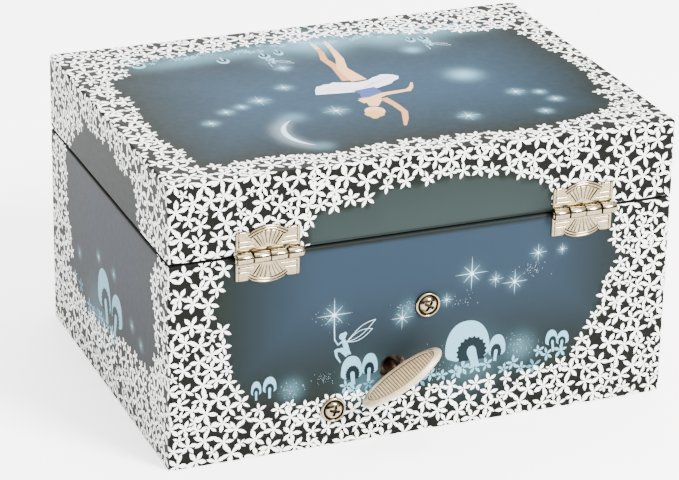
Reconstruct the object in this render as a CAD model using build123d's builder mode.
"""Paper-covered musical jewellery box with a folding ballerina.

Frame: origin at the centre of the underside, +Z up, the lid's hinges and the winding key on
the +Y face, the front on the -Y face.  Millimetres.  Everything stands as with the lid shut.
"""
from build123d import *
import math
import os

# ---- case -----------------------------------------------------------------------------------
WIDTH, DEPTH, HEIGHT = 152.0, 110.4, 85.3
SEAM = 62.0            # height of the joint between base and lid
SEAM_GAP = 0.4
BOARD = 3.6            # grey board of every wall
PAPER = 0.3            # printed wrap, and the sheet under the base
EDGE_ROUND = 0.8       # paper rounds over the board's edges
BASE_LINING, LID_LINING = 0.4, 0.5
BASE_TOP, LID_FOOT = SEAM - SEAM_GAP / 2, SEAM + SEAM_GAP / 2
BOARD_X, BOARD_Y = WIDTH / 2 - PAPER, DEPTH / 2 - PAPER          # outer faces of the boards
ROOM_X, ROOM_Y = BOARD_X - BOARD, BOARD_Y - BOARD                # inner faces of the boards
CLEAR_X, CLEAR_Y = ROOM_X - BASE_LINING, ROOM_Y - BASE_LINING    # inner faces of the lining
FLOOR = 3.6
CLEAR_FLOOR = FLOOR + BASE_LINING
LID_CEILING = HEIGHT - PAPER - BOARD

# ---- inner fittings -------------------------------------------------------------------------
PARTITION = 2.0
CROSS_Y = 20.0         # front face of the wall between the front and back compartments
MUSIC_X = 38.0         # inner half width of the music compartment
PLATFORM_Z, PLATFORM = 50.6, 2.0
DIVIDER_X, DIVIDER_TOP = 1.0, 50.0
ROLL_COUNT, ROLL_RADIUS, ROLL_Z = 5, 6.85, 37.0
MIRROR_X, MIRROR_Y, MIRROR = 52.0, 34.0, 1.6
FRAME_RIM, FRAME_LAP = 4.0, 1.6

# ---- hinges ---------------------------------------------------------------------------------
HINGE_X = 47.5
HINGE_LENGTH, LEAF_WIDTH, LEAF = 19.4, 18.8, 0.55
PIN_Y = DEPTH / 2 + 1.7
KNUCKLE, PIN, PIN_FIT = 1.65, 0.8, 0.05
LEAF_SHOULDER, LEAF_BULGE = 7.4, 1.2
KNUCKLE_RELIEF = 1.5

# ---- movement -------------------------------------------------------------------------------
BEDPLATE = 1.6
BED_FACE = ROOM_Y - BEDPLATE
KEY_X, KEY_Z, KEY_HOLE = 9.5, 21.3, 4.0
SCREWS = [(-0.5, 39.5), (27.5, 11.3)]
SCREW_HOLE, SCREW_SHANK, SCREW_HEAD, WASHER = 1.7, 1.2, 2.45, 3.7
ARBOR, PIVOT, FIT = 1.5, 0.8, 0.05
BARREL, BARREL_WALL = 9.5, 0.8
BARREL_FRONT, BARREL_BACK = 38.7, 48.0
CYLINDER_Y = 36.0
CYLINDER, PIN_REACH = 6.0, 0.6
GEAR_MODULE = 0.5
CROWN_TEETH, PINION_TEETH = 34, 8
GREAT_TEETH, GOVERNOR_TEETH = 36, 8
TOP_TEETH, SPINDLE_TEETH = 22, 16
GOVERNOR_BEARING = 200.0                 # direction from the cylinder to the governor, degrees
WORM_WHEEL_TEETH, WORM_WHEEL, WORM = 14, 3.2, 1.3
NOTES, NOTE_PITCH, FIRST_NOTE = 18, 0.72, 33.6
GREAT_Z, TOP_Z, WORM_Z = 31.9, 46.6, 37.6

governor_reach = GEAR_MODULE * (GREAT_TEETH + GOVERNOR_TEETH) / 2
governor_x = KEY_X + governor_reach * math.cos(math.radians(GOVERNOR_BEARING))
governor_y = CYLINDER_Y + governor_reach * math.sin(math.radians(GOVERNOR_BEARING))
worm_x = governor_x - WORM_WHEEL - WORM
worm_pitch = 2 * math.pi * WORM_WHEEL / WORM_WHEEL_TEETH
spindle_x = KEY_X - GEAR_MODULE * (TOP_TEETH + SPINDLE_TEETH) / 2

# ---- ballerina ------------------------------------------------------------------------------
FOLD_Z, FOLD_ANGLE = 57.0, 72.0          # she lies this far forward under the closed lid
SPRING_TANGENT, SPRING = 2.5, 1.9
TUTU = 11.0

PIECES = {}


def keep(name, piece):
    """Label a finished piece and hold it for writing."""
    piece.label = name
    PIECES[name] = piece


def block(x, y, z):
    """Solid box from three (low, high) pairs, added to the part being built."""
    middle = [(low + high) / 2 for low, high in (x, y, z)]
    size = [high - low for low, high in (x, y, z)]
    with Locations(tuple(middle)):
        Box(*size)


def carve(x, y, z):
    """Box cut out of the part being built."""
    middle = [(low + high) / 2 for low, high in (x, y, z)]
    size = [high - low for low, high in (x, y, z)]
    with Locations(tuple(middle)):
        Box(*size, mode=Mode.SUBTRACT)


def along_y(x, y, z, turn=0.0):
    """Plane at a point whose normal points out of the back of the box, turned about it."""
    turn = math.radians(turn)
    return Plane(origin=(x, y, z), x_dir=(math.cos(turn), 0, math.sin(turn)), z_dir=(0, 1, 0))


def along_z(x, y, z):
    return Plane(origin=(x, y, z), x_dir=(1, 0, 0), z_dir=(0, 0, 1))


def rod(plane, radius, length, mode=Mode.ADD):
    """Round bar that starts on a plane and runs along its normal."""
    with BuildSketch(plane) as section:
        Circle(radius)
    extrude(section.sketch, amount=length, mode=mode)


def plate_board(x, y, z):
    with BuildPart() as board:
        block(x, y, z)
    return board


# ---- base -----------------------------------------------------------------------------------
wall_z = (PAPER, BASE_TOP - PAPER)

base_front_board = plate_board((-BOARD_X, BOARD_X), (-BOARD_Y, -ROOM_Y), wall_z)
keep("base_front_board", base_front_board.part)
base_left_board = plate_board((-BOARD_X, -ROOM_X), (-ROOM_Y, ROOM_Y), wall_z)
keep("base_left_board", base_left_board.part)
base_right_board = plate_board((ROOM_X, BOARD_X), (-ROOM_Y, ROOM_Y), wall_z)
keep("base_right_board", base_right_board.part)
base_bottom_board = plate_board((-ROOM_X, ROOM_X), (-ROOM_Y, ROOM_Y), (PAPER, FLOOR))
keep("base_bottom_board", base_bottom_board.part)

with BuildPart() as base_back_board:
    block((-BOARD_X, BOARD_X), (ROOM_Y, BOARD_Y), wall_z)
    rod(along_y(KEY_X, ROOM_Y, KEY_Z), KEY_HOLE, BOARD, Mode.SUBTRACT)
    for screw_x, screw_z in SCREWS:
        rod(along_y(screw_x, ROOM_Y, screw_z), SCREW_HOLE, BOARD, Mode.SUBTRACT)
keep("base_back_board", base_back_board.part)

with BuildPart() as bottom_sheet:
    with BuildSketch():
        RectangleRounded(2 * BOARD_X, 2 * BOARD_Y, EDGE_ROUND)
    extrude(amount=PAPER)
keep("bottom_sheet", bottom_sheet.part)

with BuildPart() as base_wrap:
    with BuildSketch(Plane.XY.offset(PAPER / 2)):
        RectangleRounded(WIDTH, DEPTH, EDGE_ROUND)
        Rectangle(2 * BOARD_X, 2 * BOARD_Y, mode=Mode.SUBTRACT)
    extrude(amount=BASE_TOP - PAPER / 2)
    with BuildSketch(Plane.XY.offset(BASE_TOP - PAPER)):
        Rectangle(2 * BOARD_X, 2 * BOARD_Y)
        Rectangle(2 * ROOM_X, 2 * ROOM_Y, mode=Mode.SUBTRACT)
    extrude(amount=PAPER)
    rod(along_y(KEY_X, BOARD_Y, KEY_Z), KEY_HOLE, PAPER, Mode.SUBTRACT)
    for screw_x, screw_z in SCREWS:
        rod(along_y(screw_x, BOARD_Y, screw_z), SCREW_HOLE, PAPER, Mode.SUBTRACT)
keep("base_wrap", base_wrap.part)

with BuildPart() as base_lining:
    block((-ROOM_X, ROOM_X), (-ROOM_Y, ROOM_Y), (FLOOR, BASE_TOP - PAPER))
    carve((-CLEAR_X, CLEAR_X), (-CLEAR_Y, CLEAR_Y), (CLEAR_FLOOR, BASE_TOP))
    carve((-MUSIC_X, MUSIC_X), (CROSS_Y + PARTITION, ROOM_Y), (FLOOR, PLATFORM_Z))
keep("base_lining", base_lining.part)

# ---- partitions and music compartment ---------------------------------------------------------
cross_partition = plate_board(
    (-CLEAR_X, CLEAR_X), (CROSS_Y, CROSS_Y + PARTITION), (CLEAR_FLOOR, PLATFORM_Z))
keep("cross_partition", cross_partition.part)
for side, name in ((-1, "left_partition"), (1, "right_partition")):
    edges = sorted((side * MUSIC_X, side * (MUSIC_X + PARTITION)))
    partition = plate_board(edges, (CROSS_Y + PARTITION, CLEAR_Y), (CLEAR_FLOOR, PLATFORM_Z))
    keep(name, partition.part)
front_divider = plate_board(
    (DIVIDER_X, DIVIDER_X + PARTITION), (-CLEAR_Y, CROSS_Y), (CLEAR_FLOOR, DIVIDER_TOP))
keep("front_divider", front_divider.part)

STOP_ROD_X, STOP_ROD_Y, STOP_ROD = -14.0, 41.5, 0.7
with BuildPart() as platform:
    block((-MUSIC_X - PARTITION, MUSIC_X + PARTITION), (CROSS_Y, CLEAR_Y),
          (PLATFORM_Z, PLATFORM_Z + PLATFORM))
    rod(along_z(spindle_x, CYLINDER_Y, PLATFORM_Z), 2.0, PLATFORM, Mode.SUBTRACT)
    rod(along_z(STOP_ROD_X, STOP_ROD_Y, PLATFORM_Z), STOP_ROD + 0.1, PLATFORM, Mode.SUBTRACT)
keep("platform", platform.part)

# ---- ring rolls -------------------------------------------------------------------------------
roll_low_x, roll_high_x = DIVIDER_X + PARTITION + 0.3, CLEAR_X - 0.3
roll_pitch = (CROSS_Y + CLEAR_Y) / ROLL_COUNT
ring_roll_block = plate_board(
    (roll_low_x, roll_high_x), (-CLEAR_Y + 0.3, CROSS_Y - 0.3),
    (CLEAR_FLOOR, ROLL_Z - ROLL_RADIUS - 0.3))
keep("ring_roll_block", ring_roll_block.part)
for index in range(ROLL_COUNT):
    roll_y = -CLEAR_Y + (index + 0.5) * roll_pitch
    with BuildPart() as ring_roll:
        rod(Plane(origin=(roll_low_x, roll_y, ROLL_Z), z_dir=(1, 0, 0)),
            ROLL_RADIUS, roll_high_x - roll_low_x)
    keep(f"ring_roll_{index + 1}", ring_roll.part)

# ---- lid --------------------------------------------------------------------------------------
lid_wall_z = (LID_FOOT + PAPER, LID_CEILING)
lid_top_board = plate_board(
    (-BOARD_X, BOARD_X), (-BOARD_Y, BOARD_Y), (LID_CEILING, HEIGHT - PAPER))
keep("lid_top_board", lid_top_board.part)
lid_front_board = plate_board((-BOARD_X, BOARD_X), (-BOARD_Y, -ROOM_Y), lid_wall_z)
keep("lid_front_board", lid_front_board.part)
lid_back_board = plate_board((-BOARD_X, BOARD_X), (ROOM_Y, BOARD_Y), lid_wall_z)
keep("lid_back_board", lid_back_board.part)
lid_left_board = plate_board((-BOARD_X, -ROOM_X), (-ROOM_Y, ROOM_Y), lid_wall_z)
keep("lid_left_board", lid_left_board.part)
lid_right_board = plate_board((ROOM_X, BOARD_X), (-ROOM_Y, ROOM_Y), lid_wall_z)
keep("lid_right_board", lid_right_board.part)

with BuildPart() as lid_wrap:
    with BuildSketch(Plane.XY.offset(LID_FOOT)):
        RectangleRounded(WIDTH, DEPTH, EDGE_ROUND)
    extrude(amount=HEIGHT - LID_FOOT)
    fillet(lid_wrap.faces().sort_by(Axis.Z)[-1].edges(), EDGE_ROUND)
    carve((-BOARD_X, BOARD_X), (-BOARD_Y, BOARD_Y), (LID_FOOT + PAPER, HEIGHT - PAPER))
    carve((-ROOM_X, ROOM_X), (-ROOM_Y, ROOM_Y), (LID_FOOT, LID_FOOT + PAPER))
keep("lid_wrap", lid_wrap.part)

with BuildPart() as lid_lining:
    block((-ROOM_X, ROOM_X), (-ROOM_Y, ROOM_Y), (LID_FOOT + PAPER, LID_CEILING))
    carve((-ROOM_X + LID_LINING, ROOM_X - LID_LINING),
          (-ROOM_Y + LID_LINING, ROOM_Y - LID_LINING), (LID_FOOT, LID_CEILING - LID_LINING))
keep("lid_lining", lid_lining.part)

mirror_back = LID_CEILING - LID_LINING
mirror = plate_board(
    (-MIRROR_X, MIRROR_X), (-MIRROR_Y, MIRROR_Y), (mirror_back - MIRROR, mirror_back))
keep("mirror", mirror.part)
with BuildPart() as mirror_frame:
    block((-MIRROR_X - FRAME_RIM, MIRROR_X + FRAME_RIM),
          (-MIRROR_Y - FRAME_RIM, MIRROR_Y + FRAME_RIM), (mirror_back - MIRROR - 0.6, mirror_back))
    carve((-MIRROR_X, MIRROR_X), (-MIRROR_Y, MIRROR_Y), (mirror_back - MIRROR, mirror_back))
    carve((-MIRROR_X + FRAME_LAP, MIRROR_X - FRAME_LAP),
          (-MIRROR_Y + FRAME_LAP, MIRROR_Y - FRAME_LAP),
          (mirror_back - MIRROR - 0.6, mirror_back - MIRROR))
keep("mirror_frame", mirror_frame.part)


# ---- hinges -----------------------------------------------------------------------------------
def hinge_leaf(centre_x, upward, own_knuckles):
    """One stamped leaf: shouldered plate with a curved edge, and its knuckles round the pin."""
    knuckle_length = HINGE_LENGTH / 4
    half, bulge_half = LEAF_WIDTH / 2, LEAF_WIDTH * 0.255
    root, shoulder = KNUCKLE_RELIEF, LEAF_SHOULDER
    with BuildPart() as leaf:
        wall = Plane(origin=(centre_x, DEPTH / 2, SEAM), x_dir=(1, 0, 0), z_dir=(0, 1, 0))
        with BuildSketch(wall):
            with BuildLine():
                Polyline((-bulge_half, -upward * shoulder), (-half, -upward * shoulder),
                         (-half, -upward * root), (half, -upward * root),
                         (half, -upward * shoulder), (bulge_half, -upward * shoulder))
                ThreePointArc((bulge_half, -upward * shoulder),
                              (0, -upward * (shoulder + LEAF_BULGE)),
                              (-bulge_half, -upward * shoulder))
            make_face()
        extrude(amount=LEAF)
        for index in own_knuckles:
            low = centre_x - HINGE_LENGTH / 2 + index * knuckle_length + 0.08
            with BuildSketch(Plane(origin=(low, PIN_Y, SEAM), x_dir=(0, 1, 0), z_dir=(1, 0, 0))):
                Circle(KNUCKLE)
                with Locations((DEPTH / 2 + LEAF / 2 - PIN_Y, upward * KNUCKLE_RELIEF / 2)):
                    Rectangle(LEAF - 0.1, KNUCKLE_RELIEF + 0.2)
                Circle(PIN + PIN_FIT, mode=Mode.SUBTRACT)
            extrude(amount=knuckle_length - 0.16)
    return leaf


for side, name in ((1, "left"), (-1, "right")):
    lower_leaf = hinge_leaf(side * HINGE_X, -1, (0, 3))
    keep(f"lower_hinge_leaf_{name}", lower_leaf.part)
    upper_leaf = hinge_leaf(side * HINGE_X, 1, (1, 2))
    keep(f"upper_hinge_leaf_{name}", upper_leaf.part)
    with BuildPart() as hinge_pin:
        pin_end = HINGE_LENGTH / 2 + 0.05
        rod(Plane(origin=(side * HINGE_X - pin_end, PIN_Y, SEAM), z_dir=(1, 0, 0)),
            PIN, 2 * pin_end)
        for end in (-1, 1):
            rod(Plane(origin=(side * HINGE_X + end * pin_end, PIN_Y, SEAM), z_dir=(end, 0, 0)),
                1.15, 0.4)
    keep(f"hinge_pin_{name}", hinge_pin.part)

# ---- movement fixings -------------------------------------------------------------------------
with BuildPart() as cup_washers:
    for screw_x, screw_z in SCREWS:
        rod(along_y(screw_x, DEPTH / 2, screw_z), WASHER, 1.0)
        rod(along_y(screw_x, DEPTH / 2 + 0.4, screw_z), WASHER - 0.7, 0.6, Mode.SUBTRACT)
        rod(along_y(screw_x, DEPTH / 2, screw_z), SCREW_HOLE, 0.4, Mode.SUBTRACT)
keep("cup_washers", cup_washers.part)

with BuildPart() as movement_screws:
    for screw_x, screw_z in SCREWS:
        head_y = DEPTH / 2 + 0.4
        rod(along_y(screw_x, BED_FACE - 1.0, screw_z), SCREW_SHANK, head_y - BED_FACE + 1.0)
        with BuildSketch(along_y(screw_x, head_y, screw_z)):
            Circle(SCREW_HEAD)
        extrude(amount=1.5, taper=18)
        for turn in (0, 90):
            with BuildSketch(along_y(screw_x, head_y + 0.9, screw_z, 45 + turn)):
                Rectangle(2.6, 0.55)
            extrude(amount=0.6, mode=Mode.SUBTRACT)
keep("movement_screws", movement_screws.part)

# ---- movement frame ---------------------------------------------------------------------------
COMB_LOW_X, COMB_HIGH_X, COMB_Y, COMB = 16.35, 30.5, 35.6, 0.8
comb_low_z, comb_high_z = FIRST_NOTE - NOTE_PITCH / 2, FIRST_NOTE + (NOTES - 0.5) * NOTE_PITCH
COMB_SCREW_X, COMB_SCREWS_Z = 27.4, (36.6, 43.2)

with BuildPart() as bedplate:
    block((-8.7, 34.0), (BED_FACE, ROOM_Y), (5.0, 48.4))
    block((24.2, 31.0), (COMB_Y + COMB, BED_FACE), (comb_low_z, comb_high_z))
    rod(along_y(KEY_X, BED_FACE, KEY_Z), ARBOR + FIT, BEDPLATE, Mode.SUBTRACT)
    for screw_x, screw_z in SCREWS:
        rod(along_y(screw_x, BED_FACE, screw_z), SCREW_SHANK + FIT, BEDPLATE, Mode.SUBTRACT)
    for screw_z in COMB_SCREWS_Z:
        rod(along_y(COMB_SCREW_X, COMB_Y + COMB, screw_z), 0.85, 5.0, Mode.SUBTRACT)
keep("bedplate", bedplate.part)

with BuildPart() as barrel_bridge:
    block((-4.0, 23.0), (34.5, 35.5), (16.5, 27.5))
    block((-4.0, -2.8), (35.5, BED_FACE), (16.5, 26.0))
    block((21.8, 23.0), (35.5, BED_FACE), (16.5, 26.0))
    block((KEY_X - 2.4, KEY_X + 2.4), (35.5, 37.2), (26.0, 27.5))
    rod(along_y(KEY_X, 34.5, KEY_Z), ARBOR + FIT, 1.0, Mode.SUBTRACT)
    rod(along_z(KEY_X, CYLINDER_Y, 26.0), PIVOT + FIT, 1.5, Mode.SUBTRACT)
keep("barrel_bridge", barrel_bridge.part)

with BuildPart() as spindle_bracket:
    block((-5.0, 14.0), (31.5, BED_FACE), (48.3, 49.3))
    block((-5.0, 2.2), (33.5, BED_FACE), (44.4, 45.4))
    block((-5.0, 14.0), (BED_FACE - 1.0, BED_FACE), (44.4, 49.3))
    rod(along_z(KEY_X, CYLINDER_Y, 48.3), PIVOT + FIT, 1.0, Mode.SUBTRACT)
    rod(along_z(spindle_x, CYLINDER_Y, 44.4), 1.05, 5.0, Mode.SUBTRACT)
keep("spindle_bracket", spindle_bracket.part)

FRAME_X = (-8.7, 1.2)
with BuildPart() as governor_frame:
    for plate_z in (29.8, 41.2):
        block(FRAME_X, (27.0, BED_FACE), (plate_z, plate_z + 0.9))
    block((FRAME_X[0], -2.6), (26.2, 27.2), (29.8, 42.1))
    block((FRAME_X[0], -2.6), (45.4, 46.4), (29.8, 42.1))
    rod(along_z(governor_x, governor_y, 29.8), PIVOT + FIT, 12.3, Mode.SUBTRACT)
    rod(along_y(worm_x, 26.2, WORM_Z), 0.45 + FIT, 20.2, Mode.SUBTRACT)
keep("governor_frame", governor_frame.part)

with BuildPart() as comb:
    block((COMB_LOW_X, COMB_HIGH_X), (COMB_Y, COMB_Y + COMB), (comb_low_z, comb_high_z))
    for note in range(1, NOTES):
        slit_z = comb_low_z + note * NOTE_PITCH
        slit_end = 23.6 - 3.6 * note / NOTES
        carve((COMB_LOW_X, slit_end), (COMB_Y, COMB_Y + COMB), (slit_z - 0.1, slit_z + 0.1))
    for screw_z in COMB_SCREWS_Z:
        rod(along_y(COMB_SCREW_X, COMB_Y, screw_z), 0.85, COMB, Mode.SUBTRACT)
keep("comb", comb.part)

with BuildPart() as comb_screws:
    for screw_z in COMB_SCREWS_Z:
        rod(along_y(COMB_SCREW_X, COMB_Y, screw_z), 0.8, 5.0)
        rod(along_y(COMB_SCREW_X, COMB_Y - 1.0, screw_z), 1.6, 1.0)
        carve((COMB_SCREW_X - 1.6, COMB_SCREW_X + 1.6), (COMB_Y - 1.0, COMB_Y - 0.6),
              (screw_z - 0.2, screw_z + 0.2))
keep("comb_screws", comb_screws.part)


# ---- gear train -------------------------------------------------------------------------------
def gear(plane, teeth, pitch_radius, thickness, phase):
    """Toothed disc with straight-sided teeth, one tooth centred on the phase angle."""
    pitch = 2 * math.pi * pitch_radius / teeth
    module = 2 * pitch_radius / teeth
    root, tip = pitch_radius - 1.2 * module, pitch_radius + 0.9 * module
    outline = []
    for tooth in range(teeth):
        centre = math.radians(phase) + 2 * math.pi * tooth / teeth
        for radius, width in ((root, -0.46), (tip, -0.20), (tip, 0.20), (root, 0.46)):
            turn = centre + width * pitch / 2 / radius
            outline.append((radius * math.cos(turn), radius * math.sin(turn)))
    with BuildSketch(plane) as section:
        Polygon(*outline, align=None)
    extrude(section.sketch, amount=thickness)


with BuildPart() as pinned_cylinder:
    rod(along_z(KEY_X, CYLINDER_Y, GREAT_Z + 1.0), CYLINDER, TOP_Z - 0.3 - GREAT_Z - 1.0)
    rod(along_z(KEY_X, CYLINDER_Y, 26.2), PIVOT, 23.3)
    gear(along_z(KEY_X, CYLINDER_Y, 28.3), PINION_TEETH,
         GEAR_MODULE * PINION_TEETH / 2, GREAT_Z - 28.3, 90)
    gear(along_z(KEY_X, CYLINDER_Y, GREAT_Z), GREAT_TEETH,
         GEAR_MODULE * GREAT_TEETH / 2, 1.0, GOVERNOR_BEARING)
    rod(along_z(KEY_X, CYLINDER_Y, TOP_Z - 0.3), 2.5, 0.3)
    gear(along_z(KEY_X, CYLINDER_Y, TOP_Z), TOP_TEETH, GEAR_MODULE * TOP_TEETH / 2, 1.2, 180)
    for note in range(NOTES):
        for beat in range(2):
            turn = 20 + 47 * note + beat * (110 + 13 * (note % 4))
            direction = (math.cos(math.radians(turn)), math.sin(math.radians(turn)), 0)
            foot = (KEY_X + (CYLINDER - 0.3) * direction[0],
                    CYLINDER_Y + (CYLINDER - 0.3) * direction[1], FIRST_NOTE + note * NOTE_PITCH)
            rod(Plane(origin=foot, z_dir=direction), 0.16, 0.3 + PIN_REACH - 0.05)
keep("pinned_cylinder", pinned_cylinder.part)

with BuildPart() as spring_barrel:
    rod(along_y(KEY_X, BARREL_FRONT, KEY_Z), BARREL, BARREL_BACK - BARREL_FRONT)
    rod(along_y(KEY_X, BARREL_FRONT + 1.0, KEY_Z), BARREL - BARREL_WALL,
        BARREL_BACK - BARREL_FRONT - 1.0, Mode.SUBTRACT)
    rod(along_y(KEY_X, BARREL_FRONT, KEY_Z), ARBOR + FIT, 1.0, Mode.SUBTRACT)
    for tooth in range(CROWN_TEETH):
        turn = 90 + (tooth + 0.5) * 360 / CROWN_TEETH
        with BuildSketch(along_y(KEY_X, BARREL_FRONT, KEY_Z, turn)):
            with Locations((GEAR_MODULE * CROWN_TEETH / 2, 0)):
                Rectangle(1.8, 0.58)
        extrude(amount=-1.1)
keep("spring_barrel", spring_barrel.part)

with BuildPart() as barrel_cap:
    rod(along_y(KEY_X, BARREL_BACK - 1.0, KEY_Z), BARREL - BARREL_WALL - FIT, 1.0)
    rod(along_y(KEY_X, BARREL_BACK - 1.0, KEY_Z), ARBOR + FIT, 1.0, Mode.SUBTRACT)
keep("barrel_cap", barrel_cap.part)

SPRING_TURNS, SPRING_STRIP = 6, 0.35
spring_start, spring_end = 2.7, BARREL - BARREL_WALL - 0.6


def spiral(step, offset):
    turn = step * 30.0
    radius = spring_start + (spring_end - spring_start) * turn / (360 * SPRING_TURNS) + offset
    return (radius * math.cos(math.radians(turn)), radius * math.sin(math.radians(turn)))


with BuildPart() as mainspring:
    steps = range(12 * SPRING_TURNS + 1)
    with BuildSketch(along_y(KEY_X, BARREL_FRONT + 1.4, KEY_Z)):
        with BuildLine():
            inner = Spline(*[spiral(step, 0) for step in steps])
            outer = Spline(*[spiral(step, SPRING_STRIP) for step in steps])
            Line(inner @ 0, outer @ 0)
            Line(inner @ 1, outer @ 1)
        make_face()
    extrude(amount=BARREL_BACK - BARREL_FRONT - 2.8)
keep("mainspring", mainspring.part)

with BuildPart() as governor_wheel:
    rod(along_z(governor_x, governor_y, 29.9), PIVOT, 12.1)
    gear(along_z(governor_x, governor_y, GREAT_Z - 0.2), GOVERNOR_TEETH,
         GEAR_MODULE * GOVERNOR_TEETH / 2, 1.4, GOVERNOR_BEARING - 180 + 180 / GOVERNOR_TEETH)
    rod(along_z(governor_x, governor_y, 33.1), 1.5, WORM_Z - 33.1)
    gear(along_z(governor_x, governor_y, WORM_Z - 0.5), WORM_WHEEL_TEETH, WORM_WHEEL, 1.0, 180)
keep("governor_wheel", governor_wheel.part)

WORM_CORE, THREAD_TURNS = 0.75, 5
with BuildPart() as governor_worm:
    rod(along_y(worm_x, 26.3, WORM_Z), 0.45, 20.0)
    rod(along_y(worm_x, 27.6, WORM_Z), WORM_CORE, 17.4)
    # The helix starts a quarter turn before the wheel's side, and a groove faces the wheel.
    thread_start = governor_y - (THREAD_TURNS / 2 + 0.25) * worm_pitch
    with BuildLine():
        Helix(pitch=worm_pitch, height=THREAD_TURNS * worm_pitch, radius=WORM_CORE,
              center=(worm_x, thread_start, WORM_Z), direction=(0, 1, 0))
    with BuildSketch(Plane(origin=(worm_x, thread_start, WORM_Z + WORM_CORE - 0.1),
                           x_dir=(0, 0, 1), z_dir=(1, 0, 0))):
        with BuildLine():
            Polyline((0, -0.3), (0, 0.3), (0.95, 0.14), (0.95, -0.14), close=True)
        make_face()
    sweep(is_frenet=True)
keep("governor_worm", governor_worm.part)

with BuildPart() as air_fan:
    rod(along_y(worm_x, 40.0, WORM_Z), WORM_CORE + 0.7, 3.0)
    block((worm_x - 3.0, worm_x + 3.0), (40.4, 42.6), (WORM_Z - 0.35, WORM_Z + 0.35))
    rod(along_y(worm_x, 40.0, WORM_Z), WORM_CORE + 0.02, 3.0, Mode.SUBTRACT)
keep("air_fan", air_fan.part)

with BuildPart() as spindle:
    rod(along_z(spindle_x, CYLINDER_Y, 44.0), 1.0, FOLD_Z - SPRING_TANGENT - 44.0)
    gear(along_z(spindle_x, CYLINDER_Y, TOP_Z), SPINDLE_TEETH,
         GEAR_MODULE * SPINDLE_TEETH / 2, 1.2, 180 / SPINDLE_TEETH)
    rod(along_z(spindle_x, CYLINDER_Y, 53.2), 2.2, FOLD_Z - SPRING_TANGENT - 53.2)
keep("spindle", spindle.part)

with BuildPart() as stop_rod:
    rod(along_z(STOP_ROD_X, STOP_ROD_Y, WORM_Z - 0.7), STOP_ROD, mirror_back - 0.2 - WORM_Z + 0.7)
    block((STOP_ROD_X, FRAME_X[0] - 0.3), (STOP_ROD_Y - 0.3, STOP_ROD_Y + 0.3),
          (WORM_Z - 0.7, WORM_Z + 0.7))
keep("stop_rod", stop_rod.part)

# ---- winding key ------------------------------------------------------------------------------
KEY_TILT = 31.0
KEY_LONG, KEY_DEEP = 13.35, 5.85          # half sizes of the oval head
KEY_EDGE, KEY_FACE = 0.5, 0.95            # half thickness at its edge and over its raised face
KEY_BEVEL, KEY_STEM = 1.9, 2.0
KEY_MIDDLE = DEPTH / 2 + 7.0
key_long_dir = (-math.cos(math.radians(KEY_TILT)), 0, math.sin(math.radians(KEY_TILT)))
key_flat_dir = (-math.sin(math.radians(KEY_TILT)), 0, -math.cos(math.radians(KEY_TILT)))
key_plane = Plane(origin=(KEY_X, KEY_MIDDLE, KEY_Z), x_dir=key_long_dir, z_dir=key_flat_dir)

with BuildPart() as winding_arbor:
    rod(along_y(KEY_X, 34.4, KEY_Z), ARBOR, DEPTH / 2 + 1.5 - 34.4)
    rod(along_y(KEY_X, BARREL_FRONT + 1.3, KEY_Z), 2.4, BARREL_BACK - BARREL_FRONT - 2.6)
keep("winding_arbor", winding_arbor.part)

with BuildPart() as winding_key:
    with BuildSketch(key_plane.offset(-KEY_EDGE)):
        Ellipse(KEY_LONG, KEY_DEEP)
    extrude(amount=2 * KEY_EDGE)
    for side in (-1, 1):
        with BuildSketch(key_plane.offset(side * KEY_EDGE)):
            Ellipse(KEY_LONG, KEY_DEEP)
        with BuildSketch(key_plane.offset(side * KEY_FACE)):
            Ellipse(KEY_LONG - KEY_BEVEL, KEY_DEEP - KEY_BEVEL)
        loft()
    rod(along_y(KEY_X, ROOM_Y + 1.2, KEY_Z), KEY_STEM, KEY_MIDDLE - KEY_DEEP + 2.2 - ROOM_Y - 1.2)
    rod(along_y(KEY_X, ROOM_Y + 1.2, KEY_Z), ARBOR + FIT, DEPTH / 2 + 1.7 - ROOM_Y - 1.2,
        Mode.SUBTRACT)
keep("winding_key", winding_key.part)

# ---- ballerina --------------------------------------------------------------------------------
lean = math.radians(FOLD_ANGLE)
figure_axis = (0, -math.sin(lean), math.cos(lean))
fold_plane = Plane(origin=(spindle_x, CYLINDER_Y, FOLD_Z), x_dir=(1, 0, 0), z_dir=figure_axis)
bend_radius = SPRING_TANGENT / math.tan(lean / 2)

with BuildPart() as ballerina_spring:
    with BuildSketch(along_z(spindle_x, CYLINDER_Y, FOLD_Z - SPRING_TANGENT)):
        Circle(SPRING)
    revolve(axis=Axis((spindle_x, CYLINDER_Y - bend_radius, FOLD_Z - SPRING_TANGENT), (1, 0, 0)),
            revolution_arc=FOLD_ANGLE)
keep("ballerina_spring", ballerina_spring.part)

with BuildPart() as figure_peg:
    rod(fold_plane.offset(SPRING_TANGENT), 1.8, 1.2)
    rod(fold_plane.offset(SPRING_TANGENT + 1.2), 0.8, 1.4)
keep("figure_peg", figure_peg.part)


def on_figure(x, y, z):
    """Point given in the figure's own frame: x across her, y behind her, z up her body."""
    return fold_plane.from_local_coords(Vector(x, y, z))


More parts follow.
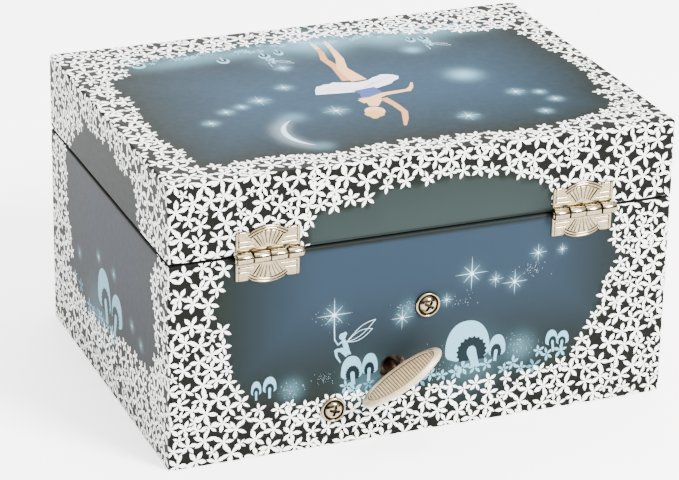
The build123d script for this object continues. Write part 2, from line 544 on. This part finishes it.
HIP, SHOULDER, HEAD_Z, HEAD = 19.0, 28.0, 33.0, 2.7
with BuildPart() as ballerina_figure:
    with BuildSketch(Plane(origin=fold_plane.origin, x_dir=(1, 0, 0), z_dir=(0, -math.cos(lean),
                                                                         -math.sin(lean)))):
        with BuildLine():
            Polyline((0, 5.3), (1.9, 5.3), (1.9, 6.1), (0.7, 6.3), (1.2, 10), (1.1, 13),
                     (1.7, 17), (2.4, HIP), (1.8, 23.5), (2.5, 27), (2.1, SHOULDER + 0.6),
                     (0.8, 29.3), (0.8, 31.5), (0, 31.5), close=True)
        make_face()
    revolve(axis=Axis(fold_plane.origin, figure_axis))
    with Locations(on_figure(0, 0, HEAD_Z)):
        Sphere(HEAD)
    with Locations(on_figure(0, 1.7, HEAD_Z + 2.1)):
        Sphere(1.3)
    for side in (-1, 1):
        with BuildLine():
            arm = ThreePointArc(on_figure(side * 2.0, 0, SHOULDER), on_figure(side * 5.6, -0.8, 35),
                                on_figure(side * 0.9, -0.8, 42))
        with BuildSketch(Plane(origin=arm @ 0, z_dir=arm % 0)):
            Circle(0.65)
        sweep(path=arm)
    with BuildLine():
        thigh = Line(on_figure(0.6, 0, HIP - 0.6), on_figure(4.8, -1.4, 14.4))
    with BuildSketch(Plane(origin=thigh @ 0, z_dir=thigh % 0)):
        Circle(1.2)
    sweep(path=thigh)
    with Locations(thigh @ 1):
        Sphere(1.2)
    with BuildLine():
        shin = Line(thigh @ 1, on_figure(0.8, -0.6, 9.6))
    with BuildSketch(Plane(origin=shin @ 0, z_dir=shin % 0)):
        Circle(0.85)
    sweep(path=shin)
keep("ballerina_figure", ballerina_figure.part)

with BuildPart() as tutu:
    with BuildSketch(Plane(origin=fold_plane.origin, x_dir=(1, 0, 0), z_dir=(0, -math.cos(lean),
                                                                         -math.sin(lean)))):
        with BuildLine():
            Polyline((2.7, HIP + 0.6), (TUTU, HIP + 0.2), (TUTU, HIP + 1.4), (2.7, HIP + 3.0),
                     close=True)
        make_face()
    revolve(axis=Axis(fold_plane.origin, figure_axis))
keep("tutu", tutu.part)

# ---- write ------------------------------------------------------------------------------------
os.makedirs("parts", exist_ok=True)
for name, piece in PIECES.items():
    export_step(piece, f"parts/{name}.step")
print(len(PIECES), "pieces")
